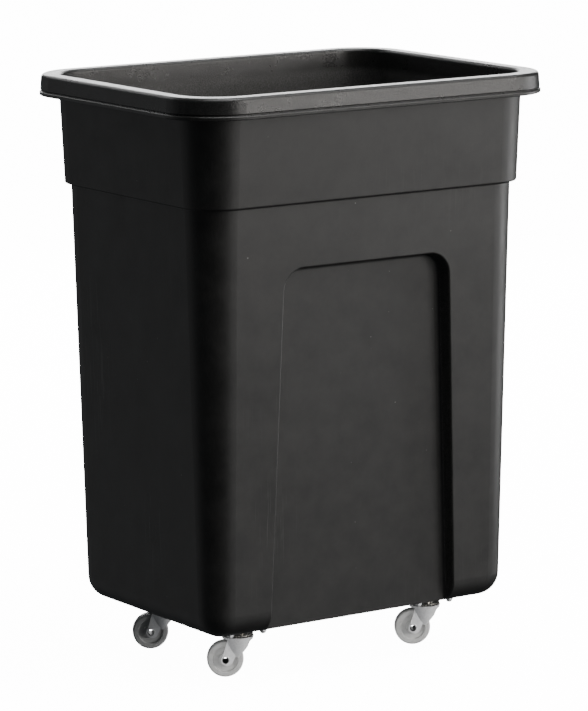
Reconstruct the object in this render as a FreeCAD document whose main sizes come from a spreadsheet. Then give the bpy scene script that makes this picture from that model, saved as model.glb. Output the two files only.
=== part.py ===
import FreeCAD, Part

import math
import os
import re

import Sketcher

# A moulded waste bin with a tall tapered tub, a stepped collar and a down-turned
# rim, standing on four swivel plate castors.  Millimetres, +Z up.  The origin is
# on the floor, midway along the length (X) and the width (Y).  The wide panels
# with the arched recess face -Y and +Y.

V = FreeCAD.Vector
UP = V(0, 0, 1)

DIMENSIONS = {
    # overall
    "overall_height": 800.0,
    "rim_length": 588.0,
    "rim_width": 451.0,
    "head_height": 21.5,
    # tub walls
    "wall": 4.0,
    "floor_thickness": 5.0,
    "corner_round": 50.0,
    "collar_corner_round": 52.0,
    "base_round": 33.0,
    "wall_draft": 1.52,
    # collar
    "collar_height": 149.5,
    "collar_step_length": 5.6,
    "collar_step_width": 9.1,
    "collar_draft": 2.6,
    "collar_edge_round": 2.8,
    # rim, a down-turned lip
    "lip_reach": 25.0,
    "lip_drop": 29.0,
    "lip_thickness": 4.0,
    "shoulder_reach": 22.2,
    "shoulder_round": 5.5,
    "inner_edge_round": 5.0,
    "rim_face_setback": 1.4,
    "lip_ceiling_round": 2.0,
    "lip_toe_round": 0.8,
    "bead_height": 6.5,
    "bead_toe_setback": 0.3,
    "bead_shoulder": 2.0,
    "bead_round": 1.2,
    "groove_depth": 1.3,
    "groove_round": 0.6,
    "groove_rise": 1.6,
    "groove_flare": 0.2,
    "groove_edge_round": 0.8,
    # arched recess in the two wide walls
    "arch_gap": 86.5,
    "arch_margin_top": 122.7,
    "arch_margin_base": 92.2,
    "arch_round": 28.0,
    "arch_depth_top": 21.0,
    "arch_depth_base": 17.5,
    "arch_draft": 10.0,
    "arch_edge_round": 2.4,
    "arch_floor_round": 5.0,
    # drain boss under the base, with its bore up through the floor
    "drain_boss_radius": 8.0,
    "drain_boss_height": 3.5,
    "drain_boss_draft": 25.0,
    "drain_bore_radius": 4.5,
    "drain_left": 8.0,
    "drain_forward": 126.0,
    # castor places
    "castor_inset_length": 87.6,
    "castor_inset_width": 75.6,
    "castor_swivel": 148.8,
    "trail": 17.0,
    # castor plate
    "plate_length": 68.0,
    "plate_width": 58.0,
    "plate_thickness": 2.5,
    "plate_corner_round": 8.0,
    "cup_radius": 20.0,
    "cup_drop": 5.5,
    "cup_draft": 20.0,
    # bolts, washers and dome nuts
    "bolt_pitch_length": 53.0,
    "bolt_pitch_width": 44.0,
    "bolt_radius": 3.0,
    "bolt_clearance": 0.3,
    "bolt_thread_length": 5.0,
    "bolt_head_radius": 5.7,
    "bolt_head_height": 3.3,
    "socket_width": 4.0,
    "socket_depth": 1.9,
    "washer_radius": 9.0,
    "washer_thickness": 1.4,
    "nut_width": 10.0,
    "nut_hex_height": 5.0,
    "nut_dome_height": 4.5,
    "nut_dome_radius": 4.6,
    "thread_relief": 0.05,
    # swivel head
    "race_radius": 21.0,
    "race_thickness": 1.6,
    "race_neck_radius": 12.0,
    "race_neck_height": 3.4,
    "race_gap": 3.4,
    "ball_radius": 1.6,
    "ball_pitch_radius": 15.5,
    "kingpin_radius": 4.0,
    "kingpin_head_radius": 7.5,
    "kingpin_head_height": 1.8,
    "kingpin_washer_radius": 10.0,
    "kingpin_washer_thickness": 1.2,
    "running_clearance": 0.1,
    "side_clearance": 0.3,
    # fork
    "crown_radius": 22.0,
    "crown_lip": 1.5,
    "sheet_thickness": 1.8,
    "skirt_draft": 17.2,
    "skirt_above_axle": 4.0,
    "fork_half_width": 14.0,
    "fork_eye_radius": 7.9,
    "eye_flat": 0.15,
    "fork_trailing_reach": 14.0,
    "fork_leading_reach": 6.0,
    "window_round": 3.6,
    "window_drop": 1.2,
    # wheel and its hollow rivet axle
    "wheel_radius": 25.0,
    "wheel_width": 19.0,
    "tread_crown": 0.6,
    "tread_round": 3.0,
    "web_radius": 17.0,
    "web_thickness": 13.0,
    "hub_radius": 9.5,
    "hub_nose_radius": 6.0,
    "hub_nose_round": 0.3,
    "hub_root_round": 0.8,
    "web_root_round": 1.5,
    "web_edge_round": 1.0,
    "axle_radius": 5.0,
    "axle_bore_radius": 4.2,
    "axle_flare_radius": 6.3,
    "axle_flare_thickness": 0.9,
}

# sizes that follow from others: the swivel head stands on top of the wheel
FOLLOWING = {
    "castor_height": "2 * wheel_radius + head_height",
}

CASTORS = {
    "front_left": (-1, -1),
    "front_right": (1, -1),
    "rear_left": (-1, 1),
    "rear_right": (1, 1),
}

BALLS_PER_RACE = 24

doc = FreeCAD.newDocument("waste_bin")


# ---------------------------------------------------------------- drawing aids

def make_sheet():
    """The driving dimensions, one named cell each."""
    cells = doc.addObject("Spreadsheet::Sheet", "Dimensions")
    contents = {name: str(size) for name, size in DIMENSIONS.items()}
    contents |= {name: f"={text}" for name, text in FOLLOWING.items()}
    for row, (name, text) in enumerate(contents.items(), start=1):
        cells.set(f"A{row}", name)
        cells.set(f"B{row}", text)
        cells.setAlias(f"B{row}", name)
    doc.recompute()
    return cells


sheet = make_sheet()


def bound(text):
    """An expression over cell names, with the sheet's name put before each."""
    return re.sub(r"\b([a-z][a-z_]*)\b(?!\()", r"Dimensions.\1", text)


def value(text):
    """What such an expression comes to now."""
    return float(sheet.evalExpression(bound(text)))


def origin_feature(body, role):
    return next(item for item in body.Origin.OriginFeatures if item.Role == role)


def new_body(label):
    body = doc.addObject("PartDesign::Body", label)
    body.Label = label
    return body


def new_sketch(body, name, plane, height=None, tilt=None):
    """A sketch on one of the body's own planes, raised along its normal and tilted."""
    sketch = body.newObject("Sketcher::SketchObject", name)
    sketch.AttachmentSupport = [(origin_feature(body, plane), "")]
    sketch.MapMode = "FlatFace"
    if tilt:
        turned = FreeCAD.Rotation(V(1, 0, 0), value(tilt))
        sketch.AttachmentOffset = FreeCAD.Placement(V(0, 0, 0), turned)
        sketch.setExpression("AttachmentOffset.Rotation.Angle", bound(tilt))
    if height:
        sketch.setExpression("AttachmentOffset.Base.z", bound(height))
    return sketch


def fix_point(sketch, geometry, end, x, y):
    """Tie one point of the sketch to its x and y expressions."""
    for kind, text in (("DistanceX", x), ("DistanceY", y)):
        number = sketch.addConstraint(
            Sketcher.Constraint(kind, -1, 1, geometry, end, value(text)))
        sketch.setExpression(f"Constraints[{number}]", bound(text))


def corner_arc(before, corner, after, radius):
    """The arc that rounds a corner, and where it meets the run before and after."""
    back = (before - corner).normalize()
    ahead = (after - corner).normalize()
    half = back.getAngle(ahead) / 2
    reach = radius / math.tan(half)
    centre = corner + (back + ahead).normalize() * (radius / math.sin(half))
    first = corner + back * reach
    last = corner + ahead * reach
    left_turn = back.cross(ahead).z < 0
    start, end = (first, last) if left_turn else (last, first)
    angles = [math.atan2(p.y - centre.y, p.x - centre.x) for p in (start, end)]
    if angles[1] < angles[0]:
        angles[1] += 2 * math.pi
    arc = Part.ArcOfCircle(Part.Circle(centre, UP, radius), angles[0], angles[1])
    return arc, first, last, left_turn


def outline(sketch, corners):
    """A closed outline of straight runs through corners (x, y) or (x, y, rounding)."""
    points = [V(value(c[0]), value(c[1]), 0) for c in corners]
    count = len(points)
    starts = list(points)
    ends = list(points)
    arcs = {}
    for i, corner in enumerate(corners):
        if len(corner) == 3:
            before, after = points[i - 1], points[(i + 1) % count]
            arc, first, last, left_turn = corner_arc(before, points[i], after, value(corner[2]))
            arcs[i] = (sketch.addGeometry(arc, False), left_turn)
            ends[i], starts[i] = first, last
    runs = [sketch.addGeometry(Part.LineSegment(starts[i], ends[(i + 1) % count]), False)
            for i in range(count)]
    for i, corner in enumerate(corners):
        into, out = runs[i - 1], runs[i]
        if i not in arcs:
            sketch.addConstraint(Sketcher.Constraint("Coincident", into, 2, out, 1))
            fix_point(sketch, out, 1, corner[0], corner[1])
            continue
        arc, left_turn = arcs[i]
        arc_start, arc_end = (1, 2) if left_turn else (2, 1)
        sketch.addConstraint(Sketcher.Constraint("Tangent", into, 2, arc, arc_start))
        sketch.addConstraint(Sketcher.Constraint("Tangent", arc, arc_end, out, 1))
        number = sketch.addConstraint(Sketcher.Constraint("Radius", arc, value(corner[2])))
        sketch.setExpression(f"Constraints[{number}]", bound(corner[2]))
        sharp = sketch.addGeometry(Part.Point(points[i]), True)
        sketch.addConstraint(Sketcher.Constraint("PointOnObject", sharp, 1, into))
        sketch.addConstraint(Sketcher.Constraint("PointOnObject", sharp, 1, out))
        fix_point(sketch, sharp, 1, corner[0], corner[1])
    return sketch


def rectangle(half_x, half_y, rounding, centre_x="0"):
    """Corners of a rounded rectangle about (centre_x, 0)."""
    return [(f"{centre_x} + {sx} * ({half_x})", f"{sy} * ({half_y})", rounding)
            for sx, sy in ((1, -1), (1, 1), (-1, 1), (-1, -1))]


def circles(sketch, centres, radius):
    """One circle of the same radius at each (x, y) expression."""
    for x, y in centres:
        ring = sketch.addGeometry(
            Part.Circle(V(value(x), value(y), 0), UP, value(radius)), False)
        number = sketch.addConstraint(Sketcher.Constraint("Radius", ring, value(radius)))
        sketch.setExpression(f"Constraints[{number}]", bound(radius))
        fix_point(sketch, ring, 3, x, y)
    return sketch


def extrude(body, kind, name, sketch, length, reverse=False, taper=None):
    """A PartDesign Pad or Pocket; a taper in degrees grows it along its length."""
    feature = body.newObject(f"PartDesign::{kind}", name)
    feature.Profile = sketch
    feature.Reversed = reverse
    feature.setExpression("Length", bound(length))
    if taper:
        feature.setExpression("TaperAngle", bound(taper))
    return feature


def revolve(body, name, sketch, axis="Z_Axis"):
    feature = body.newObject("PartDesign::Revolution", name)
    feature.Profile = sketch
    feature.ReferenceAxis = (origin_feature(body, axis), [""])
    feature.Angle = 360
    return feature


def fillet(body, name, base, wanted, radius):
    """Round the base feature's edges that the test 'wanted' picks."""
    doc.recompute()
    picked = [f"Edge{i}" for i, edge in enumerate(base.Shape.Edges, start=1) if wanted(edge)]
    if not picked:
        raise RuntimeError(f"{name}: no edge to round")
    feature = body.newObject("PartDesign::Fillet", name)
    feature.Base = (base, picked)
    feature.setExpression("Radius", bound(radius))
    return feature


LEVEL_TOLERANCE = 0.01


def level_edge(edge, height):
    """True when the whole edge lies at one height."""
    box = edge.BoundBox
    gaps = (abs(box.ZMin - height), abs(box.ZMax - height))
    return max(gaps) < LEVEL_TOLERANCE


# ------------------------------------------------------------------------- tub

COLLAR_Z = "overall_height - collar_height"
WALLS_HIGH = "(overall_height - collar_height - castor_height)"
WALL_LEAN = f"{WALLS_HIGH} * tan(wall_draft)"
RIM_HALF = ("rim_length / 2 - lip_reach", "rim_width / 2 - lip_reach")
COLLAR_LEAN = "(collar_height - lip_drop) * tan(collar_draft)"
COLLAR_HALF = (f"{RIM_HALF[0]} - {COLLAR_LEAN}", f"{RIM_HALF[1]} - {COLLAR_LEAN}")
NECK_HALF = (f"{COLLAR_HALF[0]} - collar_step_length", f"{COLLAR_HALF[1]} - collar_step_width")
BASE_HALF = (f"{NECK_HALF[0]} - {WALL_LEAN}", f"{NECK_HALF[1]} - {WALL_LEAN}")
CASTOR_X = f"{BASE_HALF[0]} - castor_inset_length"
CASTOR_Y = f"{BASE_HALF[1]} - castor_inset_width"
ARCH_TOP_Z = f"{COLLAR_Z} - arch_gap"
ARCH_HALF_TOP = f"{NECK_HALF[0]} - arch_gap * tan(wall_draft) - arch_margin_top"
ARCH_HALF_BASE = f"{BASE_HALF[0]} - arch_margin_base"
ARCH_WALL_TOP = f"{NECK_HALF[1]} - arch_gap * tan(wall_draft)"
BELOW_BASE = "20"
BEYOND_WALL = "15"
ABOVE_ROUNDED_BASE = "castor_height + base_round * 1.2"
ON_SIDE_SHARE = 0.99
ON_CORNER_SHARE = 0.8
ON_FACE_TOLERANCE = 0.05
SUNK_SHARE = 0.9
SHORTEST_EDGE = 1.0


def bolt_places():
    """The sixteen bolt centres, four about each castor's kingpin."""
    places = []
    for sx, sy in CASTORS.values():
        for ux in (-1, 1):
            for uy in (-1, 1):
                x = f"{sx} * ({CASTOR_X}) + {ux} * bolt_pitch_length / 2"
                y = f"{sy} * ({CASTOR_Y}) + {uy} * bolt_pitch_width / 2"
                places.append((x, y))
    return places


def walls(body, name, top_z, length, grow, inset):
    """The tapered main walls, drawn at 'top_z' and carried down; 'inset' shrinks them."""
    sketch = new_sketch(body, f"{name}_outline", "XY_Plane", top_z)
    half_x = f"{NECK_HALF[0]} + ({grow}) * tan(wall_draft) - {inset}"
    half_y = f"{NECK_HALF[1]} + ({grow}) * tan(wall_draft) - {inset}"
    outline(sketch, rectangle(half_x, half_y, f"corner_round - {inset}"))
    return extrude(body, "Pad", name, sketch, length, reverse=True, taper="-wall_draft")


def collar(body, name, bottom_z, length, rise, inset):
    """The stepped-out collar, drawn at 'bottom_z' and carried up to the rim."""
    sketch = new_sketch(body, f"{name}_outline", "XY_Plane", bottom_z)
    half_x = f"{COLLAR_HALF[0]} + ({rise}) * tan(collar_draft) - {inset}"
    half_y = f"{COLLAR_HALF[1]} + ({rise}) * tan(collar_draft) - {inset}"
    outline(sketch, rectangle(half_x, half_y, f"collar_corner_round - {inset}"))
    return extrude(body, "Pad", name, sketch, length, taper="collar_draft")


def arch(body, name, side, grow):
    """The arched recess in one wide wall; 'grow' swells it by the wall's thickness."""
    rise = f"({ARCH_TOP_Z} - castor_height)"
    floor_top = f"({ARCH_WALL_TOP} - arch_depth_top)"
    floor_base = f"({BASE_HALF[1]} - arch_depth_base)"
    per_mm = f"({floor_top} - {floor_base}) / {rise}"
    level = f"({floor_base} - castor_height * {per_mm} - {grow})"
    sketch = new_sketch(body, f"{name}_outline", "XZ_Plane",
                        f"{-side} * {level}", f"{-side} * atan({per_mm})")
    flank_top = "arch_depth_top * tan(arch_draft)"
    flank_base = "arch_depth_base * tan(arch_draft)"
    half_top = f"({ARCH_HALF_TOP} - {flank_top} + {grow})"
    half_base = f"({ARCH_HALF_BASE} - {flank_base} + {grow})"
    half_low = f"({half_base} + ({half_base} - {half_top}) * {BELOW_BASE} / {rise})"
    top_z = f"({ARCH_TOP_Z} - {flank_top} + {grow})"
    low_z = f"(castor_height - {BELOW_BASE})"
    rounding = f"arch_round + {grow}"
    outline(sketch, [(f"-{half_low}", low_z), (half_low, low_z),
                     (half_top, top_z, rounding), (f"-{half_top}", top_z, rounding)])
    return extrude(body, "Pocket", name, sketch, f"arch_depth_top + {BEYOND_WALL}",
                   reverse=side < 0, taper="arch_draft")


def rim_section(sketch, x):
    """The lip's cross-section: flat top, sloping face, groove, bead and hollow inside."""
    top = "overall_height"
    toe = "(overall_height - lip_drop)"
    face = "(lip_reach - rim_face_setback)"
    root = "(-wall / 2)"
    ceiling = f"({top} - lip_thickness)"
    bead_top = f"({toe} + bead_height)"
    corners = [
        (f"{x} + {root}", ceiling),
        (f"{x} + shoulder_reach - lip_thickness", ceiling, "lip_ceiling_round"),
        (f"{x} + lip_reach - lip_thickness", toe, "lip_toe_round"),
        (f"{x} + lip_reach - bead_toe_setback", toe, "bead_round"),
        (f"{x} + lip_reach", f"{bead_top} - bead_shoulder", "bead_round"),
        (f"{x} + {face} - groove_depth", bead_top, "groove_round"),
        (f"{x} + {face} + groove_flare", f"{bead_top} + groove_rise", "groove_edge_round"),
        (f"{x} + shoulder_reach", top, "shoulder_round"),
        (f"{x} + {root}", top),
    ]
    return outline(sketch, corners)


def rim_path(sketch, half, rounding):
    """Rounded rectangle that starts halfway along the +X side."""
    x, y, r = value(half[0]), value(half[1]), value(rounding)
    side = sketch.addGeometry(Part.LineSegment(V(x, 0, 0), V(x, y - r, 0)), False)
    previous = side
    turns = ((V(x - r, y - r, 0), 0), (V(r - x, y - r, 0), 1),
             (V(r - x, r - y, 0), 2), (V(x - r, r - y, 0), 3))
    runs = (V(r - x, y, 0), V(-x, r - y, 0), V(x - r, -y, 0), V(x, 0, 0))
    starts = (V(x - r, y, 0), V(-x, y - r, 0), V(r - x, -y, 0), V(x, r - y, 0))
    arcs, lines = [], [side]
    for (centre, quarter), start, stop in zip(turns, starts, runs):
        arc = sketch.addGeometry(Part.ArcOfCircle(
            Part.Circle(centre, UP, r), quarter * math.pi / 2, (quarter + 1) * math.pi / 2), False)
        line = sketch.addGeometry(Part.LineSegment(start, stop), False)
        sketch.addConstraint(Sketcher.Constraint("Tangent", previous, 2, arc, 1))
        sketch.addConstraint(Sketcher.Constraint("Tangent", arc, 2, line, 1))
        arcs.append(arc)
        lines.append(line)
        previous = line
    sketch.addConstraint(Sketcher.Constraint("Coincident", previous, 2, side, 1))
    sketch.addConstraint(Sketcher.Constraint("PointOnObject", side, 1, -1))
    for line, kind in zip(lines, ("Vertical", "Horizontal", "Vertical", "Horizontal", "Vertical")):
        sketch.addConstraint(Sketcher.Constraint(kind, line))
    for arc in arcs[1:]:
        sketch.addConstraint(Sketcher.Constraint("Equal", arcs[0], arc))
    number = sketch.addConstraint(Sketcher.Constraint("Radius", arcs[0], r))
    sketch.setExpression(f"Constraints[{number}]", bound(rounding))
    for kind, line, text, size in (("DistanceX", lines[0], half[0], x),
                                   ("DistanceY", lines[1], half[1], y),
                                   ("DistanceX", lines[2], f"-({half[0]})", -x),
                                   ("DistanceY", lines[3], f"-({half[1]})", -y)):
        number = sketch.addConstraint(Sketcher.Constraint(kind, -1, 1, line, 1, size))
        sketch.setExpression(f"Constraints[{number}]", bound(text))
    return sketch


def outside_edge(edge, height, half):
    """True for a level edge on the outside of a rounded rectangle of these half sizes."""
    middle = edge.CenterOfMass
    shares = (abs(middle.x) / value(half[0]), abs(middle.y) / value(half[1]))
    outside = max(shares) > ON_SIDE_SHARE or min(shares) > ON_CORNER_SHARE
    return level_edge(edge, height) and outside


def arch_edge(edge, on_floor):
    """True for an upright or top edge of an arch, at its mouth or round its floor."""
    if edge.BoundBox.ZMax < value(ABOVE_ROUNDED_BASE) or edge.Length < SHORTEST_EDGE:
        return False
    lean = math.tan(math.radians(value("wall_draft")))
    for vertex in edge.Vertexes:
        wall_y = value(NECK_HALF[1]) - (value(COLLAR_Z) - vertex.Point.z) * lean
        depth = wall_y - abs(vertex.Point.y)
        on_face = abs(depth) < ON_FACE_TOLERANCE
        sunk = depth > value("arch_depth_base") * SUNK_SHARE
        if not (sunk if on_floor else on_face):
            return False
    middle = edge.CenterOfMass
    across = abs(middle.x) < value(ARCH_HALF_BASE) + SHORTEST_EDGE
    return across and middle.z < value(ARCH_TOP_Z) + SHORTEST_EDGE


def drain(body):
    """The short boss under the floor, bored through so that spilt drink runs out."""
    place = [("-drain_left", "-drain_forward")]
    boss = new_sketch(body, "drain_boss_outline", "XY_Plane", "castor_height")
    circles(boss, place, "drain_boss_radius")
    extrude(body, "Pad", "drain_boss", boss, "drain_boss_height", reverse=True,
            taper="-drain_boss_draft")
    bore = new_sketch(body, "drain_bore_outline", "XY_Plane", "castor_height - drain_boss_height")
    circles(bore, place, "drain_bore_radius")
    extrude(body, "Pocket", "drain_bore", bore, "drain_boss_height + floor_thickness + wall",
            reverse=True)


def make_outer_form():
    """Everything that the tub's outside is made of, as one solid block."""
    body = new_body("outer_form")
    block = walls(body, "main_walls", COLLAR_Z, WALLS_HIGH, "0", "0")
    floor_z = value("castor_height")
    fillet(body, "base_rounding", block, lambda edge: level_edge(edge, floor_z), "base_round")
    arch(body, "front_arch", -1, "0")
    arched = arch(body, "rear_arch", 1, "0")
    arched = fillet(body, "arch_edge_rounding", arched,
                    lambda edge: arch_edge(edge, False), "arch_edge_round")
    fillet(body, "arch_floor_rounding", arched,
           lambda edge: arch_edge(edge, True), "arch_floor_round")
    band = collar(body, "collar", COLLAR_Z, "collar_height", "0", "0")
    collar_z = value(COLLAR_Z)
    fillet(body, "collar_edge_rounding", band,
           lambda edge: outside_edge(edge, collar_z, COLLAR_HALF), "collar_edge_round")
    section = new_sketch(body, "lip_section", "XZ_Plane")
    rim_section(section, RIM_HALF[0])
    path = new_sketch(body, "lip_path", "XY_Plane", "overall_height")
    rim_path(path, RIM_HALF, "collar_corner_round")
    lip = body.newObject("PartDesign::AdditivePipe", "lip")
    lip.Profile = section
    lip.Spine = (path, [f"Edge{i}" for i in range(1, 10)])
    lip.Transition = "Transformed"
    drain(body)
    holes = new_sketch(body, "bolt_holes", "XY_Plane", "castor_height")
    circles(holes, bolt_places(), "bolt_radius + bolt_clearance")
    extrude(body, "Pocket", "bolt_drilling", holes, "floor_thickness + wall", reverse=True)
    return body


def make_cavity_form():
    """The hollow of the tub, which follows the walls one thickness inside."""
    body = new_body("cavity_form")
    high = f"{WALLS_HIGH} + wall - floor_thickness"
    block = walls(body, "lower_hollow", f"{COLLAR_Z} + wall", high, "wall", "wall")
    floor_z = value("castor_height + floor_thickness")
    fillet(body, "floor_rounding", block,
           lambda edge: level_edge(edge, floor_z), "base_round - wall")
    for side, name in ((-1, "front_bulge"), (1, "rear_bulge")):
        arch(body, name, side, "wall")
    collar(body, "upper_hollow", f"{COLLAR_Z} + wall", "collar_height - wall", "wall", "wall")
    return body


def make_tub():
    """The one-piece moulded tub: the outer form less its hollow, with a rolled mouth."""
    outer = make_outer_form()
    hollow = make_cavity_form()
    shell = doc.addObject("Part::Cut", "shell")
    shell.Base = outer
    shell.Tool = hollow
    doc.recompute()
    top_z = value("overall_height")
    inside = value(RIM_HALF[0]), value(RIM_HALF[1])
    mouth = []
    for number, edge in enumerate(shell.Shape.Edges, start=1):
        middle = edge.CenterOfMass
        within = abs(middle.x) < inside[0] and abs(middle.y) < inside[1]
        if level_edge(edge, top_z) and within:
            mouth.append(number)
    tub = doc.addObject("Part::Fillet", "tub")
    tub.Base = shell
    size = value("inner_edge_round")
    tub.Edges = [(number, size, size) for number in mouth]
    tub.Label = "tub"
    return tub


# ------------------------------------------------------------------ fasteners

FLOOR_TOP = "castor_height + floor_thickness"
WASHER_TOP = f"{FLOOR_TOP} + washer_thickness"
PLATE_UNDER = "castor_height - plate_thickness"
HEXAGON = [math.radians(60 * i) for i in range(6)]


def hexagon(sketch, width):
    """A hexagon of this width across flats about the origin."""
    corners = [(f"{math.cos(a):.6f} * {width} / cos(30)", f"{math.sin(a):.6f} * {width} / cos(30)")
               for a in HEXAGON]
    halved = [(f"{x} / 2", f"{y} / 2") for x, y in corners]
    return outline(sketch, halved)


def repeat_at_bolts(body, features):
    """Repeat one fastener at all four corners of all four castor plates."""
    many = body.newObject("PartDesign::MultiTransform", "repeat")
    many.Originals = features
    steps = (("X_Axis", "bolt_pitch_length"), ("Y_Axis", "bolt_pitch_width"),
             ("X_Axis", f"2 * ({CASTOR_X})"), ("Y_Axis", f"2 * ({CASTOR_Y})"))
    patterns = []
    for number, (axis, length) in enumerate(steps, start=1):
        pattern = body.newObject("PartDesign::LinearPattern", f"step_{number}")
        pattern.Direction = (origin_feature(body, axis), [""])
        pattern.Occurrences = 2
        pattern.setExpression("Length", bound(length))
        patterns.append(pattern)
    many.Transformations = patterns
    body.Tip = many
    body.setExpression("Placement.Base.x", bound(f"-({CASTOR_X}) - bolt_pitch_length / 2"))
    body.setExpression("Placement.Base.y", bound(f"-({CASTOR_Y}) - bolt_pitch_width / 2"))
    return body


def make_bolts():
    """Button-head bolts, dropped in from inside the tub."""
    body = new_body("castor_bolts")
    section = new_sketch(body, "bolt_section", "XZ_Plane")
    low = f"{PLATE_UNDER} - bolt_thread_length"
    shank = "bolt_radius - thread_relief"
    outline(section, [("0", low), (shank, low), (shank, WASHER_TOP),
                      ("bolt_head_radius", WASHER_TOP),
                      ("bolt_head_radius", f"{WASHER_TOP} + bolt_head_height / 3"),
                      ("bolt_head_radius * 0.6", f"{WASHER_TOP} + bolt_head_height",
                       "bolt_head_height"),
                      ("0", f"{WASHER_TOP} + bolt_head_height")])
    turned = revolve(body, "bolt_turning", section)
    socket = new_sketch(body, "socket_outline", "XY_Plane",
                        f"{WASHER_TOP} + bolt_head_height - socket_depth")
    hexagon(socket, "socket_width")
    cut = extrude(body, "Pocket", "socket", socket, "socket_depth * 2", reverse=True)
    return repeat_at_bolts(body, [turned, cut])


def make_washers():
    """Penny washers that spread the bolt heads' load over the moulded floor."""
    body = new_body("penny_washers")
    section = new_sketch(body, "washer_section", "XZ_Plane")
    hole = "bolt_radius + bolt_clearance"
    outline(section, [(hole, FLOOR_TOP), ("washer_radius", FLOOR_TOP),
                      ("washer_radius", WASHER_TOP, "washer_thickness / 3"), (hole, WASHER_TOP)])
    turned = revolve(body, "washer_turning", section)
    return repeat_at_bolts(body, [turned])


def make_nuts():
    """Dome nuts under the castor plates."""
    body = new_body("dome_nuts")
    flats = new_sketch(body, "nut_outline", "XY_Plane", PLATE_UNDER)
    hexagon(flats, "nut_width")
    block = extrude(body, "Pad", "nut_hexagon", flats, "nut_hex_height", reverse=True)
    section = new_sketch(body, "dome_section", "XZ_Plane")
    top = f"{PLATE_UNDER} - nut_hex_height + 1"
    low = f"{PLATE_UNDER} - nut_hex_height - nut_dome_height"
    outline(section, [("0", low), ("nut_dome_radius", low, "nut_dome_height * 0.9"),
                      ("nut_dome_radius", top), ("0", top)])
    dome = revolve(body, "nut_dome", section)
    bore = new_sketch(body, "nut_bore_outline", "XY_Plane", PLATE_UNDER)
    circles(bore, [("0", "0")], "bolt_radius")
    cut = extrude(body, "Pocket", "nut_bore", bore, "bolt_thread_length + thread_relief")
    return repeat_at_bolts(body, [block, dome, cut])


# -------------------------------------------------------------------- castors

RACE_TOP = f"{PLATE_UNDER} - cup_drop"
FLANGE_TOP = f"{RACE_TOP} - race_neck_height"
RACE_UNDER = f"{FLANGE_TOP} - race_thickness"
CROWN_Z = f"({RACE_UNDER} - race_gap)"
CROWN_RIM = f"({CROWN_Z} + crown_lip)"
CROWN_UNDER = f"({CROWN_Z} - sheet_thickness)"
SKIRT_LOW = "(wheel_radius + skirt_above_axle)"
CHEEK_INSIDE = "(fork_half_width - sheet_thickness)"
PIN_WASHER_TOP = f"{CROWN_UNDER} - side_clearance"
PIN_HEAD_TOP = f"{PIN_WASHER_TOP} - kingpin_washer_thickness"
PIN_LOW = f"{PIN_HEAD_TOP} - kingpin_head_height"
EYE_LOW = "wheel_radius - fork_eye_radius"


def place_on_castor(body, corner, swivelled=False, on_axle=False):
    """Put a castor piece at its kingpin, or at its axle, swivelled where it should be."""
    sx, sy = CASTORS[corner]
    x, y = f"{sx} * ({CASTOR_X})", f"{sy} * ({CASTOR_Y})"
    if on_axle:
        x += " + trail * cos(castor_swivel)"
        y += " + trail * sin(castor_swivel)"
        body.setExpression("Placement.Base.z", bound("wheel_radius"))
    body.setExpression("Placement.Base.x", bound(x))
    body.setExpression("Placement.Base.y", bound(y))
    if swivelled:
        body.Placement = FreeCAD.Placement(V(0, 0, 0),
                                           FreeCAD.Rotation(UP, value("castor_swivel")))
        body.setExpression("Placement.Rotation.Angle", bound("castor_swivel"))
    return body


def make_plate(corner):
    """Pressed steel top plate with a cup drawn down in its middle and four bolt holes."""
    body = new_body(f"castor_plate_{corner}")
    face = new_sketch(body, "plate_outline", "XY_Plane", PLATE_UNDER)
    outline(face, rectangle("plate_length / 2", "plate_width / 2", "plate_corner_round"))
    extrude(body, "Pad", "plate", face, "plate_thickness")
    cup = new_sketch(body, "cup_outline", "XY_Plane", PLATE_UNDER)
    circles(cup, [("0", "0")], "cup_radius")
    extrude(body, "Pad", "cup", cup, "cup_drop", reverse=True, taper="-cup_draft")
    inside = new_sketch(body, "cup_inside_outline", "XY_Plane", "castor_height")
    circles(inside, [("0", "0")], "cup_radius - plate_thickness * cos(cup_draft) / 2")
    extrude(body, "Pocket", "cup_inside", inside, "cup_drop", taper="-cup_draft")
    holes = new_sketch(body, "hole_outline", "XY_Plane", "castor_height")
    circles(holes, [(f"{sx} * bolt_pitch_length / 2", f"{sy} * bolt_pitch_width / 2")
                    for sx, sy in CASTORS.values()], "bolt_radius + bolt_clearance")
    extrude(body, "Pocket", "bolt_holes", holes, "plate_thickness * 2")
    pin = new_sketch(body, "pin_outline", "XY_Plane", "castor_height")
    circles(pin, [("0", "0")], "kingpin_radius")
    extrude(body, "Pocket", "pin_hole", pin, "plate_thickness + cup_drop * 2")
    return place_on_castor(body, corner)


def make_race_ring(corner):
    """Upper ball race: a flange on a short neck, held against the cup by the kingpin."""
    body = new_body(f"race_ring_{corner}")
    section = new_sketch(body, "race_section", "XZ_Plane")
    soft = "race_thickness / 3"
    outline(section, [("kingpin_radius", RACE_UNDER), ("race_radius", RACE_UNDER, soft),
                      ("race_radius", FLANGE_TOP, soft), ("race_neck_radius", FLANGE_TOP),
                      ("race_neck_radius", RACE_TOP), ("kingpin_radius", RACE_TOP)])
    revolve(body, "race_turning", section)
    return place_on_castor(body, corner)


def make_kingpin(corner):
    """Rivet that holds the swivel head together, with a head at each end."""
    body = new_body(f"kingpin_{corner}")
    section = new_sketch(body, "kingpin_section", "XZ_Plane")
    sunk = "castor_height - cup_drop"
    outline(section, [("0", PIN_LOW), ("kingpin_head_radius", PIN_LOW, "kingpin_head_height / 2"),
                      ("kingpin_head_radius", PIN_HEAD_TOP), ("kingpin_radius", PIN_HEAD_TOP),
                      ("kingpin_radius", sunk), ("kingpin_head_radius", sunk),
                      ("kingpin_head_radius", f"{sunk} + kingpin_head_height"),
                      ("0", f"{sunk} + kingpin_head_height")])
    revolve(body, "kingpin_turning", section)
    return place_on_castor(body, corner)


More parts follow.
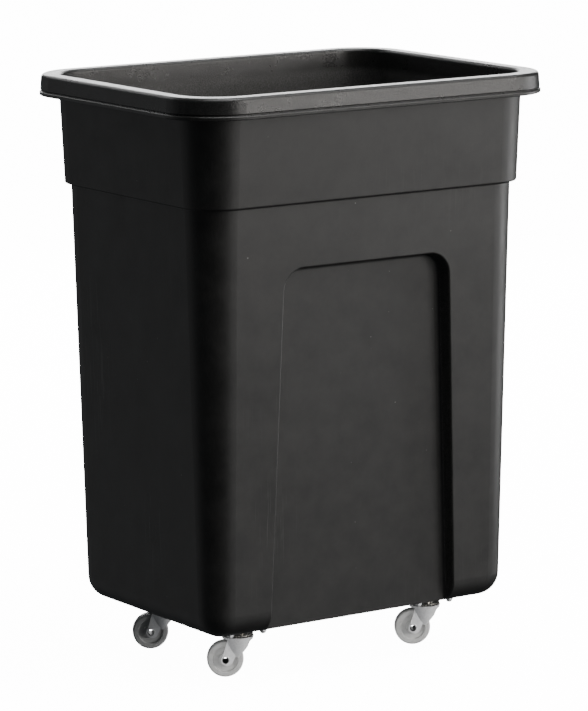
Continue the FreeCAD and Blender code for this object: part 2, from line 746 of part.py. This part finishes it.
def make_kingpin_washer(corner):
    """Washer between the kingpin's lower head and the fork's crown."""
    body = new_body(f"kingpin_washer_{corner}")
    section = new_sketch(body, "washer_section", "XZ_Plane")
    outline(section, [("kingpin_radius", PIN_HEAD_TOP), ("kingpin_washer_radius", PIN_HEAD_TOP),
                      ("kingpin_washer_radius", PIN_WASHER_TOP),
                      ("kingpin_radius", PIN_WASHER_TOP)])
    revolve(body, "washer_turning", section)
    return place_on_castor(body, corner)


def make_balls(corner):
    """Ring of loose balls that runs between the race and the fork's dished crown."""
    body = new_body(f"bearing_balls_{corner}")
    sketch = new_sketch(body, "ball_section", "XZ_Plane")
    x, z = "ball_pitch_radius", f"{CROWN_Z} + ball_radius"
    centre, size = V(value(x), value(z), 0), value("ball_radius")
    half_turn = math.pi / 2
    arc = sketch.addGeometry(
        Part.ArcOfCircle(Part.Circle(centre, UP, size), -half_turn, half_turn), False)
    line = sketch.addGeometry(
        Part.LineSegment(centre + V(0, size, 0), centre - V(0, size, 0)), False)
    sketch.addConstraint(Sketcher.Constraint("Coincident", arc, 2, line, 1))
    sketch.addConstraint(Sketcher.Constraint("Coincident", line, 2, arc, 1))
    sketch.addConstraint(Sketcher.Constraint("Vertical", line))
    sketch.addConstraint(Sketcher.Constraint("PointOnObject", arc, 3, line))
    number = sketch.addConstraint(Sketcher.Constraint("Radius", arc, size))
    sketch.setExpression(f"Constraints[{number}]", bound("ball_radius"))
    fix_point(sketch, arc, 3, x, z)
    ball = body.newObject("PartDesign::Revolution", "ball")
    ball.Profile = sketch
    ball.ReferenceAxis = (sketch, [f"Edge{line + 1}"])
    ball.Angle = 360
    ring = body.newObject("PartDesign::PolarPattern", "ball_ring")
    ring.Originals = [ball]
    ring.Axis = (origin_feature(body, "Z_Axis"), [""])
    ring.Angle = 360
    ring.Occurrences = BALLS_PER_RACE
    body.Tip = ring
    return place_on_castor(body, corner, swivelled=True)


def side_view(sketch, corners):
    """Cut everything away except what lies inside these corners, seen from the side."""
    far = "wheel_radius * 3"
    outline(sketch, [(f"-{far}", f"-{far}"), (far, f"-{far}"), (far, far), (f"-{far}", far)])
    return outline(sketch, corners)


def make_fork(corner):
    """Pressed steel fork: dished crown, conical skirt and two flat cheeks with eyes."""
    body = new_body(f"fork_{corner}")
    rim = new_sketch(body, "crown_outline", "XY_Plane", CROWN_RIM)
    circles(rim, [("0", "0")], "crown_radius")
    extrude(body, "Pad", "skirt", rim, f"{CROWN_RIM} - {SKIRT_LOW}", reverse=True,
            taper="-skirt_draft")
    eye_left, eye_right = "trail - fork_eye_radius", "trail + fork_eye_radius"
    trim = new_sketch(body, "skirt_side", "XZ_Plane")
    wide, high = "(crown_radius + crown_lip)", f"{CROWN_RIM} + crown_lip"
    side_view(trim, [(eye_left, EYE_LOW), (eye_right, EYE_LOW),
                     ("fork_trailing_reach", CROWN_UNDER), (wide, CROWN_UNDER), (wide, high),
                     (f"-{wide}", high), ("-crown_radius", CROWN_UNDER)])
    trimmed = extrude(body, "Pocket", "skirt_trim", trim, "crown_radius * 3")
    trimmed.Midplane = True
    cheek = new_sketch(body, "cheek_side", "XZ_Plane")
    rounding = "fork_eye_radius - eye_flat"
    outline(cheek, [(eye_left, EYE_LOW, rounding), (eye_right, EYE_LOW, rounding),
                    ("fork_trailing_reach", CROWN_UNDER), ("-fork_leading_reach", CROWN_UNDER)])
    block = extrude(body, "Pad", "cheeks", cheek, "fork_half_width * 2")
    block.Midplane = True
    hollow = new_sketch(body, "hollow_outline", "XY_Plane", CROWN_UNDER)
    drop = "(sheet_thickness + crown_lip)"
    circles(hollow, [("0", "0")], f"crown_radius - {drop} * tan(skirt_draft) - sheet_thickness")
    extrude(body, "Pocket", "skirt_hollow", hollow, f"{CROWN_UNDER} - {SKIRT_LOW} + crown_lip",
            taper="-skirt_draft")
    window = new_sketch(body, "window_outline", "YZ_Plane")
    top, low = f"{CROWN_UNDER} - window_drop", f"{EYE_LOW} - crown_lip"
    outline(window, [(f"-{CHEEK_INSIDE}", low), (CHEEK_INSIDE, low),
                     (CHEEK_INSIDE, top, "window_round"),
                     (f"-{CHEEK_INSIDE}", top, "window_round")])
    opening = extrude(body, "Pocket", "window", window, "wheel_radius * 4")
    opening.Midplane = True
    dish = new_sketch(body, "dish_outline", "XY_Plane", CROWN_RIM)
    circles(dish, [("0", "0")], "crown_radius - sheet_thickness")
    extrude(body, "Pocket", "dish", dish, "crown_lip")
    pin = new_sketch(body, "pin_outline", "XY_Plane", CROWN_Z)
    circles(pin, [("0", "0")], "kingpin_radius + running_clearance")
    extrude(body, "Pocket", "pin_hole", pin, "sheet_thickness * 2")
    eyes = new_sketch(body, "eye_outline", "XZ_Plane")
    circles(eyes, [("trail", "wheel_radius")], "axle_radius")
    bore = extrude(body, "Pocket", "eyes", eyes, "fork_half_width * 3")
    bore.Midplane = True
    return place_on_castor(body, corner, swivelled=True)


def make_axle(corner):
    """Hollow rivet through both cheeks, flared over at its two ends."""
    body = new_body(f"axle_{corner}")
    section = new_sketch(body, "axle_section", "XY_Plane")
    cheek, end = "fork_half_width", "(fork_half_width + axle_flare_thickness)"
    soft = "axle_flare_thickness / 3"
    outline(section, [("axle_bore_radius", f"-{end}", soft), ("axle_flare_radius", f"-{end}", soft),
                      ("axle_flare_radius", f"-{cheek}"), ("axle_radius", f"-{cheek}"),
                      ("axle_radius", cheek), ("axle_flare_radius", cheek),
                      ("axle_flare_radius", end, soft), ("axle_bore_radius", end, soft)])
    revolve(body, "axle_turning", section, "Y_Axis")
    return place_on_castor(body, corner, swivelled=True, on_axle=True)


def make_wheel(corner):
    """Solid nylon wheel: crowned tread, sunk web, hub nosed to run between the cheeks."""
    body = new_body(f"wheel_{corner}")
    section = new_sketch(body, "wheel_section", "XY_Plane")
    bore = "axle_radius + running_clearance"
    nose = f"({CHEEK_INSIDE} - side_clearance)"
    rim, web = "wheel_width / 2", "web_thickness / 2"
    shoulder = "wheel_radius - tread_crown"
    half = [(bore, nose, "hub_nose_round"), ("hub_nose_radius", nose, "hub_nose_round"),
            ("hub_nose_radius", rim), ("hub_radius", rim, "hub_root_round"),
            ("hub_radius", web, "hub_root_round"), ("web_radius", web, "web_root_round"),
            ("web_radius", rim, "web_edge_round"), (shoulder, rim, "tread_round"),
            ("wheel_radius", f"{rim} / 3", "wheel_radius / 2")]
    mirrored = [(c[0], f"-{c[1]}", *c[2:]) for c in half]
    outline(section, mirrored + half[::-1])
    revolve(body, "wheel_turning", section, "Y_Axis")
    return place_on_castor(body, corner, swivelled=True, on_axle=True)


# ------------------------------------------------------------------- assembly

PER_CASTOR = (make_plate, make_race_ring, make_kingpin, make_kingpin_washer,
              make_balls, make_fork, make_axle, make_wheel)


def make_all():
    pieces = [make_tub(), make_bolts(), make_washers(), make_nuts()]
    for corner in CASTORS:
        for make in PER_CASTOR:
            pieces.append(make(corner))
    doc.recompute()
    return pieces


def check(pieces):
    """Stop before anything is written if a feature failed or a piece isn't sound."""
    for item in doc.Objects:
        if "Invalid" in item.State or "Error" in item.State:
            raise RuntimeError(f"{item.Label} did not build: {item.State}")
    for piece in pieces:
        shape = piece.Shape
        if shape.isNull() or not shape.isValid() or not shape.Solids:
            raise RuntimeError(f"{piece.Label} is not a sound solid")


def write(pieces):
    os.makedirs("parts", exist_ok=True)
    for piece in pieces:
        piece.Shape.exportStep(f"parts/{piece.Label}.step")
        box = piece.Shape.optimalBoundingBox()
        print(f"{piece.Label}: {len(piece.Shape.Solids)} solid(s), "
              f"{piece.Shape.Volume / 1000:.2f} cm3, z {box.ZMin:.2f} to {box.ZMax:.2f}")


built = make_all()
check(built)
write(built)
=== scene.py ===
import math

import bpy
from mathutils import Matrix, Vector


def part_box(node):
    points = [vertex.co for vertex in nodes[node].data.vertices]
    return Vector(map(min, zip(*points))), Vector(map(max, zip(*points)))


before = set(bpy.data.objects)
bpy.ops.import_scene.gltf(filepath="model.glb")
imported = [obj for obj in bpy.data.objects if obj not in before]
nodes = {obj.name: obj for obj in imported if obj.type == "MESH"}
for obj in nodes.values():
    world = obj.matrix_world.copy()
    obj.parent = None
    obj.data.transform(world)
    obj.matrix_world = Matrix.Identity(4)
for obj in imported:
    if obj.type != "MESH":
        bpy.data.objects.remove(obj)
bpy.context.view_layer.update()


# ---------------------------------------------------------------------- camera
# A long lens stands well back at the bin's front left corner, a little above the
# mouth, so that upright edges stay almost parallel and the inside just shows.

aim = Vector((0.0036, 0.0, 0.4084))
stand_off = 5.656
azimuth, elevation, roll = (math.radians(a) for a in (-33.92, 10.16, -0.40))
back = Vector((math.sin(azimuth) * math.cos(elevation),
               -math.cos(azimuth) * math.cos(elevation), math.sin(elevation)))
level = Vector((math.cos(azimuth), math.sin(azimuth), 0.0))
upright = back.cross(level)
right = level * math.cos(roll) + upright * math.sin(roll)
up = upright * math.cos(roll) - level * math.sin(roll)

lens = bpy.data.cameras.new("long_lens")
lens.sensor_width = 36.0
lens.lens = 208.7
lens.clip_end = 200.0
camera = bpy.data.objects.new("camera", lens)
camera.matrix_world = Matrix.Translation(aim + back * stand_off) @ Matrix(
    (right, up, back)).transposed().to_4x4()
bpy.context.scene.collection.objects.link(camera)
bpy.context.scene.camera = camera


# ---------------------------------------------------------------- studio stage
# A plain white sweep and a broad overhead light, with soft boxes beyond the front
# right corner, beside the rim, on the right and behind, in a dim room that glows
# a little off its floor at the front right and the rear left.

white = (1.0, 1.0, 1.0)
warm_white = (1.0, 0.965, 0.93)
backdrop_glow = 14.0

def plain_material(name, colour, roughness):
    """A material with its shader, for the sections below to build on."""
    material = bpy.data.materials.new(name)
    material.use_nodes = True
    shader = material.node_tree.nodes["Principled BSDF"]
    shader.inputs["Base Color"].default_value = (*colour, 1.0)
    shader.inputs["Roughness"].default_value = roughness
    return material, material.node_tree, shader


def add_node(tree, kind, **inputs):
    """A new node of this kind, with the named inputs set to plain values."""
    node = tree.nodes.new(kind)
    for name, value in inputs.items():
        node.inputs[name.replace("_", " ")].default_value = value
    return node


floor_half = 40.0
floor_mesh = bpy.data.meshes.new("studio_floor")
floor_mesh.from_pydata([(-floor_half, -floor_half, 0), (floor_half, -floor_half, 0),
                        (floor_half, floor_half, 0), (-floor_half, floor_half, 0)],
                       [], [(0, 1, 2, 3)])
studio_floor = bpy.data.objects.new("studio_floor", floor_mesh)
bpy.context.scene.collection.objects.link(studio_floor)
pale_grey = (0.9, 0.9, 0.9)
floor_paint, _, floor_shader = plain_material("pale_floor", pale_grey, 0.9)
floor_shader.inputs["Specular IOR Level"].default_value = 0.0
floor_shader.inputs["Emission Color"].default_value = (*white, 1.0)
floor_shader.inputs["Emission Strength"].default_value = backdrop_glow
floor_mesh.materials.append(floor_paint)
studio_floor.visible_glossy = False
studio_floor.visible_diffuse = False


def soft_box(name, place, target, width, height, watts, colour=white):
    """A rectangular soft box at 'place' that faces 'target'."""
    light = bpy.data.lights.new(name, "AREA")
    light.shape = "RECTANGLE"
    light.size, light.size_y = width, height
    light.energy = watts
    light.color = colour
    box = bpy.data.objects.new(name, light)
    box.location = place
    facing = Vector(target) - Vector(place)
    box.rotation_euler = facing.to_track_quat("-Z", "Y").to_euler()
    box.visible_camera = False
    bpy.context.scene.collection.objects.link(box)
    return box


sun = bpy.data.lights.new("overhead_glow", "SUN")
sun.energy = 3.2
sun.angle = math.radians(50)
overhead = bpy.data.objects.new("overhead_glow", sun)
overhead.rotation_euler = (math.radians(12), math.radians(10), 0)
bpy.context.scene.collection.objects.link(overhead)
rim_level = (0, 0, 0.8)
soft_box("front_right_box", (1.5, -2.4, 1.62), (0, 0, 0.75), 1.6, 1.9, 40,
         warm_white)
soft_box("rim_strip", (1.75, -2.75, 0.95), rim_level, 2.0, 0.42, 21, warm_white)
soft_box("right_side_box", (2.6, -0.7, 0.45), (0, 0, 0.45), 0.7, 1.5, 26)
soft_box("low_rear_box", (1.9, 2.9, 1.6), rim_level, 2.6, 1.3, 62)
soft_box("high_rear_strip", (-0.9, 2.7, 2.5), (-0.2, 0, 0.8), 2.2, 0.5, 14)

room = bpy.data.worlds.new("studio_room")
room.use_nodes = True
bpy.context.scene.world = room
air = room.node_tree
air.nodes.clear()
heading = air.nodes.new("ShaderNodeTexCoord").outputs["Generated"]


def glow_towards(direction, inner, outer, strength):
    """Room light from one direction, full to 'inner' degrees and gone by 'outer'."""
    dot = air.nodes.new("ShaderNodeVectorMath")
    dot.operation = "DOT_PRODUCT"
    dot.inputs[1].default_value = Vector(direction).normalized()
    air.links.new(heading, dot.inputs[0])
    fade = air.nodes.new("ShaderNodeMapRange")
    fade.interpolation_type = "SMOOTHSTEP"
    fade.inputs["From Min"].default_value = math.cos(math.radians(outer))
    fade.inputs["From Max"].default_value = math.cos(math.radians(inner))
    fade.inputs["To Max"].default_value = strength
    air.links.new(dot.outputs["Value"], fade.inputs["Value"])
    patch = air.nodes.new("ShaderNodeBackground")
    air.links.new(fade.outputs["Result"], patch.inputs["Strength"])
    return patch


def add_light(first, second):
    """Two kinds of room light at once."""
    both = air.nodes.new("ShaderNodeAddShader")
    air.links.new(first.outputs[0], both.inputs[0])
    air.links.new(second.outputs[0], both.inputs[1])
    return both


dim = add_node(air, "ShaderNodeBackground", Color=(0.9, 0.95, 1, 1), Strength=0.07)
dim = add_light(dim, glow_towards((0.56, -0.80, -0.32), 8, 42, 0.75))
dim = add_light(dim, glow_towards((-0.55, 0.80, -0.26), 8, 40, 0.26))
output = air.nodes.new("ShaderNodeOutputWorld")
blend = air.nodes.new("ShaderNodeMixShader")
seen = air.nodes.new("ShaderNodeLightPath")
pale = add_node(air, "ShaderNodeBackground", Color=(*white, 1),
                Strength=backdrop_glow)
air.links.new(seen.outputs["Is Camera Ray"], blend.inputs["Fac"])
air.links.new(dim.outputs[0], blend.inputs[1])
air.links.new(pale.outputs[0], blend.inputs[2])
air.links.new(blend.outputs[0], output.inputs["Surface"])


# ------------------------------------------------------------------------- tub
# One rotationally moulded shell of black polyethylene: fine grain all over, a
# slight unevenness from cooling, scuffs and dust specks from use.

def place_coordinates(tree, scale=(1, 1, 1)):
    """Object coordinates in metres, stretched by 'scale'."""
    where = tree.nodes.new("ShaderNodeTexCoord")
    mapping = tree.nodes.new("ShaderNodeMapping")
    mapping.inputs["Scale"].default_value = scale
    tree.links.new(where.outputs["Object"], mapping.inputs["Vector"])
    return mapping.outputs["Vector"]


def noise(tree, vector, scale, detail=3.0, roughness=0.55):
    """Cloudy grey, 0 to 1, with 'scale' clouds to the metre."""
    cloud = add_node(tree, "ShaderNodeTexNoise", Scale=scale, Detail=detail,
                     Roughness=roughness)
    tree.links.new(vector, cloud.inputs["Vector"])
    return cloud.outputs["Fac"]


def ramp(tree, factor, stops):
    """Colour ramp with (position, colour or grey) stops."""
    node = tree.nodes.new("ShaderNodeValToRGB")
    while len(node.color_ramp.elements) < len(stops):
        node.color_ramp.elements.new(0.5)
    for element, (position, shade) in zip(node.color_ramp.elements, stops):
        element.position = position
        colour = shade if isinstance(shade, tuple) else (shade, shade, shade)
        element.color = (*colour, 1.0)
    tree.links.new(factor, node.inputs["Fac"])
    return node.outputs["Color"]


def bump(tree, height, distance, strength=1.0, under=None):
    """A bump of this height in metres, laid over another bump's normal."""
    node = add_node(tree, "ShaderNodeBump", Distance=distance, Strength=strength)
    tree.links.new(height, node.inputs["Height"])
    if under:
        tree.links.new(under, node.inputs["Normal"])
    return node.outputs["Normal"]


def mix_colours(tree, factor, first, second):
    """The first colour where the factor is 0, the second where it is 1."""
    node = tree.nodes.new("ShaderNodeMix")
    node.data_type = "RGBA"
    tree.links.new(factor, node.inputs["Factor"])
    tree.links.new(first, node.inputs["A"])
    tree.links.new(second, node.inputs["B"])
    return node.outputs["Result"]


def above(tree, height, blur):
    """0 below this height of the object and 1 above it, over 'blur' metres."""
    where = tree.nodes.new("ShaderNodeTexCoord")
    split = tree.nodes.new("ShaderNodeSeparateXYZ")
    tree.links.new(where.outputs["Object"], split.inputs["Vector"])
    step = tree.nodes.new("ShaderNodeMapRange")
    step.inputs["From Min"].default_value = height - blur
    step.inputs["From Max"].default_value = height + blur
    tree.links.new(split.outputs["Z"], step.inputs["Value"])
    return step.outputs["Result"]


def facing_inward(tree):
    """1 where the surface faces the bin's middle, as the inside walls do, else 0."""
    where = tree.nodes.new("ShaderNodeTexCoord")
    level = tree.nodes.new("ShaderNodeVectorMath")
    level.operation = "MULTIPLY"
    level.inputs[1].default_value = (-1.0, -1.0, 0.0)
    tree.links.new(where.outputs["Object"], level.inputs[0])
    dot = tree.nodes.new("ShaderNodeVectorMath")
    dot.operation = "DOT_PRODUCT"
    tree.links.new(where.outputs["Normal"], dot.inputs[0])
    tree.links.new(level.outputs["Vector"], dot.inputs[1])
    step = tree.nodes.new("ShaderNodeMapRange")
    step.inputs["From Min"].default_value = 0.0
    step.inputs["From Max"].default_value = 0.02
    tree.links.new(dot.outputs["Value"], step.inputs["Value"])
    return step.outputs["Result"]


def larger(tree, first, second):
    """The larger of two values."""
    node = tree.nodes.new("ShaderNodeMath")
    node.operation = "MAXIMUM"
    tree.links.new(first, node.inputs[0])
    tree.links.new(second, node.inputs[1])
    return node.outputs["Value"]


def patch_around(tree, centre, reach):
    """1 at a place on the bin, falling to 0 at 'reach' metres along X, Y and Z."""
    mapping = tree.nodes.new("ShaderNodeMapping")
    mapping.inputs["Scale"].default_value = [1 / r for r in reach]
    mapping.inputs["Location"].default_value = [-c / r for c, r in zip(centre, reach)]
    where = tree.nodes.new("ShaderNodeTexCoord")
    tree.links.new(where.outputs["Object"], mapping.inputs["Vector"])
    length = tree.nodes.new("ShaderNodeVectorMath")
    length.operation = "LENGTH"
    tree.links.new(mapping.outputs["Vector"], length.inputs[0])
    fade = tree.nodes.new("ShaderNodeMapRange")
    fade.inputs["From Min"].default_value = 1.0
    fade.inputs["From Max"].default_value = 0.4
    tree.links.new(length.outputs["Value"], fade.inputs["Value"])
    return fade.outputs["Result"]


def dust_specks(tree, vector, spacing, size):
    """Small round specks, one in about half of the cells of this spacing."""
    cells = add_node(tree, "ShaderNodeTexVoronoi", Scale=1 / spacing)
    tree.links.new(vector, cells.inputs["Vector"])
    spot = tree.nodes.new("ShaderNodeMapRange")
    spot.inputs["From Min"].default_value = size / spacing
    spot.inputs["From Max"].default_value = size / spacing / 2
    tree.links.new(cells.outputs["Distance"], spot.inputs["Value"])
    luck = ramp(tree, cells.outputs["Color"], [(0.50, 0.0), (0.75, 1.0)])
    kept = tree.nodes.new("ShaderNodeMath")
    kept.operation = "MULTIPLY"
    tree.links.new(spot.outputs["Result"], kept.inputs[0])
    tree.links.new(luck, kept.inputs[1])
    return kept.outputs["Value"]


rim_underside, rim_blur = 0.772, 0.004
wear_marks = (  # centre and reach of each rubbed patch on the left and front walls
    ((-0.252, 0.10, 0.41), (0.03, 0.05, 0.14)),
    ((-0.256, 0.152, 0.637), (0.02, 0.03, 0.012)),
    ((-0.245, -0.03, 0.20), (0.03, 0.03, 0.09)),
    ((-0.14, -0.17, 0.22), (0.05, 0.04, 0.08)))


def moulded_black():
    """Black polyethylene: plain walls, a leathery inside with painted light on it, and a
    smoother, shinier rim.
    """
    material, tree, shader = plain_material("moulded_black", (0.012, 0.012, 0.0118), 0.45)
    everywhere = place_coordinates(tree)
    rim = above(tree, rim_underside, rim_blur)
    leathery = larger(tree, rim, facing_inward(tree))
    fine = noise(tree, everywhere, 620.0, 3.0, 0.65)
    grain = mix_colours(tree, leathery, ramp(tree, fine, [(0.2, 0.38), (0.8, 0.62)]),
                        ramp(tree, fine, [(0.3, 0.0), (0.7, 1.0)]))
    sway = noise(tree, everywhere, 6.0, 2.0, 0.5)
    normal = bump(tree, sway, 0.006, 0.35)
    normal = bump(tree, noise(tree, everywhere, 90.0, 2.0, 0.5), 0.0005, 0.18, normal)
    normal = bump(tree, grain, 0.0003, 0.5, normal)
    tree.links.new(normal, shader.inputs["Normal"])
    mottle = noise(tree, everywhere, 26.0, 6.0, 0.68)
    dull = ramp(tree, mottle, [(0.32, (0.0075, 0.0074, 0.0070)),
                               (0.68, (0.0190, 0.0184, 0.0175))])
    specks = larger(tree, dust_specks(tree, everywhere, 0.026, 0.0009),
                    dust_specks(tree, everywhere, 0.061, 0.0015))
    grey_dust = ramp(tree, mottle, [(0.2, (0.10, 0.098, 0.094)),
                                    (0.8, (0.20, 0.195, 0.19))])
    handled = ramp(tree, fine, [(0.4, (0.008, 0.008, 0.0078)),
                                (0.75, (0.030, 0.0295, 0.0285))])
    # Painted light: the inside walls get a lighter colour, as if lit from above; the plastic
    # there is the same black.
    painted_inner_light = ramp(tree, fine, [(0.35, (0.022, 0.022, 0.0215)),
                                (0.7, (0.080, 0.079, 0.076))])
    dull = mix_colours(tree, facing_inward(tree), dull, painted_inner_light)
    dusty = mix_colours(tree, specks, mix_colours(tree, rim, dull, handled), grey_dust)
    scratches = noise(tree, place_coordinates(tree, (300, 300, 7)), 1.0, 3.0, 0.6)
    patches = ramp(tree, noise(tree, everywhere, 5.0, 2.0, 0.5), [(0.52, 0.0), (0.70, 0.22)])
    for centre, reach in wear_marks:
        patches = larger(tree, patches, patch_around(tree, centre, reach))
    lines = ramp(tree, scratches, [(0.56, 0.0), (0.66, 1.0)])
    worn = tree.nodes.new("ShaderNodeMath")
    worn.operation = "MULTIPLY"
    tree.links.new(patches, worn.inputs[0])
    tree.links.new(lines, worn.inputs[1])
    rubbed = ramp(tree, mottle, [(0.2, (0.030, 0.030, 0.029)), (0.8, (0.060, 0.059, 0.057))])
    colour = mix_colours(tree, worn.outputs["Value"], dusty, rubbed)
    tree.links.new(colour, shader.inputs["Base Color"])
    wall_shine = ramp(tree, mottle, [(0.25, 0.41), (0.75, 0.53)])
    rim_shine = ramp(tree, mottle, [(0.25, 0.24), (0.75, 0.34)])
    inner_shine = ramp(tree, mottle, [(0.25, 0.36), (0.75, 0.46)])
    sides = mix_colours(tree, facing_inward(tree), wall_shine, inner_shine)
    rough = mix_colours(tree, rim, sides, rim_shine)
    tree.links.new(rough, shader.inputs["Roughness"])
    return material


def dress(node, material):
    """Give a CAD piece its finished material."""
    mesh = nodes[node].data
    mesh.materials.clear()
    mesh.materials.append(material)


dress("tub", moulded_black())


# --------------------------------------------------------------------- castors
# Swivel plate castors: bright zinc on pressed steel plates, races and forks, a
# hollow rivet axle and a solid off-white nylon wheel.

def bright_zinc():
    """Zinc plate: a fine spangle under faint brushing, smudged in places."""
    material, tree, shader = plain_material("bright_zinc", (0.78, 0.78, 0.79), 0.4)
    shader.inputs["Metallic"].default_value = 0.4
    everywhere = place_coordinates(tree)
    spangle = noise(tree, everywhere, 420.0, 3.0, 0.6)
    brushed = noise(tree, place_coordinates(tree, (900, 900, 90)), 1.0, 2.0, 0.6)
    clean = ramp(tree, spangle, [(0.3, (0.66, 0.66, 0.67)), (0.7, (0.80, 0.80, 0.80))])
    grime_and_shade = noise(tree, everywhere, 120.0, 4.0, 0.65)
    smudged = ramp(tree, spangle, [(0.3, (0.50, 0.49, 0.47)), (0.7, (0.60, 0.59, 0.57))])
    colour = mix_colours(tree, ramp(tree, grime_and_shade, [(0.56, 0.0), (0.70, 0.7)]), clean, smudged)
    tree.links.new(colour, shader.inputs["Base Color"])
    rough = ramp(tree, brushed, [(0.3, 0.34), (0.7, 0.48)])
    tree.links.new(rough, shader.inputs["Roughness"])
    normal = bump(tree, brushed, 0.00006, 0.4)
    tree.links.new(bump(tree, spangle, 0.0001, 0.35, normal), shader.inputs["Normal"])
    return material


def polished_steel():
    """Bearing steel with dark patches: old grease, and painted shade for the swivel head
    under the tub.
    """
    material, tree, shader = plain_material("polished_steel", (0.7, 0.7, 0.7), 0.15)
    shader.inputs["Metallic"].default_value = 1.0
    grease_and_shade = noise(tree, place_coordinates(tree), 300.0, 2.0)
    tree.links.new(ramp(tree, grease_and_shade, [(0.3, 0.12), (0.7, 0.3)]), shader.inputs["Roughness"])
    # The dark patches are partly old grease and partly painted shade of the swivel head,
    # which sits in the tub's shadow.
    tree.links.new(ramp(tree, grease_and_shade, [(0.4, (0.62, 0.61, 0.58)), (0.7, (0.36, 0.33, 0.28))]),
                   shader.inputs["Base Color"])
    return material


def off_white_nylon():
    """Natural nylon, clouded, with grime in its scuffs."""
    material, tree, shader = plain_material("off_white_nylon", (0.66, 0.66, 0.65), 0.5)
    everywhere = place_coordinates(tree)
    cloud = noise(tree, everywhere, 90.0, 4.0, 0.6)
    clean = ramp(tree, cloud, [(0.3, (0.42, 0.42, 0.415)), (0.7, (0.50, 0.50, 0.49))])
    grey = ramp(tree, cloud, [(0.3, (0.28, 0.275, 0.265)), (0.7, (0.34, 0.335, 0.32))])
    grime_and_shade = ramp(tree, noise(tree, everywhere, 240.0, 5.0, 0.7), [(0.55, 0.0), (0.72, 0.8)])
    tree.links.new(mix_colours(tree, grime_and_shade, clean, grey), shader.inputs["Base Color"])
    tree.links.new(ramp(tree, cloud, [(0.3, 0.42), (0.7, 0.58)]), shader.inputs["Roughness"])
    scuffs = noise(tree, everywhere, 600.0, 4.0, 0.7)
    tree.links.new(bump(tree, scuffs, 0.00018, 0.5), shader.inputs["Normal"])
    shader.inputs["Subsurface Weight"].default_value = 0.12
    shader.inputs["Subsurface Radius"].default_value = (0.004, 0.004, 0.004)
    return material


castor_swivel = 148.8
bore_radius = 0.0042
# Where the painted shade inside each hollow axle begins and where it is full.
bore_shade_starts, bore_shade_full = bore_radius + 0.0005, bore_radius + 0.0002


def shaded_bore(corner):
    """Zinc, but with painted shade down the hollow of this castor's axle."""
    material = zinc.copy()
    material.name = f"bore_shaded_zinc_{corner}"
    tree = material.node_tree
    shader = tree.nodes["Principled BSDF"]
    low, high = (Vector(end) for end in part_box(f"axle_{corner}"))
    turn = math.radians(castor_swivel)
    off_centre = tree.nodes.new("ShaderNodeVectorMath")
    off_centre.operation = "SUBTRACT"
    off_centre.inputs[1].default_value = (low + high) / 2
    where = tree.nodes.new("ShaderNodeTexCoord")
    tree.links.new(where.outputs["Object"], off_centre.inputs[0])
    across = tree.nodes.new("ShaderNodeVectorMath")
    across.operation = "CROSS_PRODUCT"
    across.inputs[1].default_value = (-math.sin(turn), math.cos(turn), 0.0)
    tree.links.new(off_centre.outputs["Vector"], across.inputs[0])
    length = tree.nodes.new("ShaderNodeVectorMath")
    length.operation = "LENGTH"
    tree.links.new(across.outputs["Vector"], length.inputs[0])
    step = tree.nodes.new("ShaderNodeMapRange")
    step.inputs["From Min"].default_value = bore_shade_starts
    step.inputs["From Max"].default_value = bore_shade_full
    tree.links.new(length.outputs["Value"], step.inputs["Value"])
    clean = shader.inputs["Base Color"].links[0].from_socket
    bore_shade_noise = noise(tree, place_coordinates(tree), 400.0)
    # Painted shade: near black down the bore, where shade falls inside the hollow axle.
    grime_and_shade = ramp(tree, bore_shade_noise, [(0.3, 0.012), (0.7, 0.03)])
    tree.links.new(mix_colours(tree, step.outputs["Result"], clean, grime_and_shade),
                   shader.inputs["Base Color"])
    return material


CORNERS = ("front_left", "front_right", "rear_left", "rear_right")
zinc, steel, nylon = bright_zinc(), polished_steel(), off_white_nylon()
every_castor = bpy.data.collections.new("every_castor")
front_castors = bpy.data.collections.new("front_castors")
for corner in CORNERS:
    for piece in ("castor_plate", "fork"):
        dress(f"{piece}_{corner}", zinc)
    for piece in ("race_ring", "kingpin_washer", "kingpin", "bearing_balls"):
        dress(f"{piece}_{corner}", steel)
    dress(f"axle_{corner}", shaded_bore(corner))
    dress(f"wheel_{corner}", nylon)
    for piece in ("fork", "axle", "wheel"):
        every_castor.objects.link(nodes[f"{piece}_{corner}"])
        if corner.startswith("front"):
            front_castors.objects.link(nodes[f"{piece}_{corner}"])
for piece in ("castor_bolts", "penny_washers", "dome_nuts"):
    dress(piece, zinc)
every_castor.objects.link(nodes["dome_nuts"])

# Two low soft boxes light the castors alone: the dark tub would mirror them.
for name, place, watts, lit in (("castor_box_left", (-1.5, -1.5, 0.35), 24, front_castors),
                                ("castor_box_right", (1.1, -1.7, 0.3), 26, every_castor)):
    low_box = soft_box(name, place, (0, 0, 0.05), 1.6, 0.6, watts)
    low_box.light_linking.receiver_collection = lit
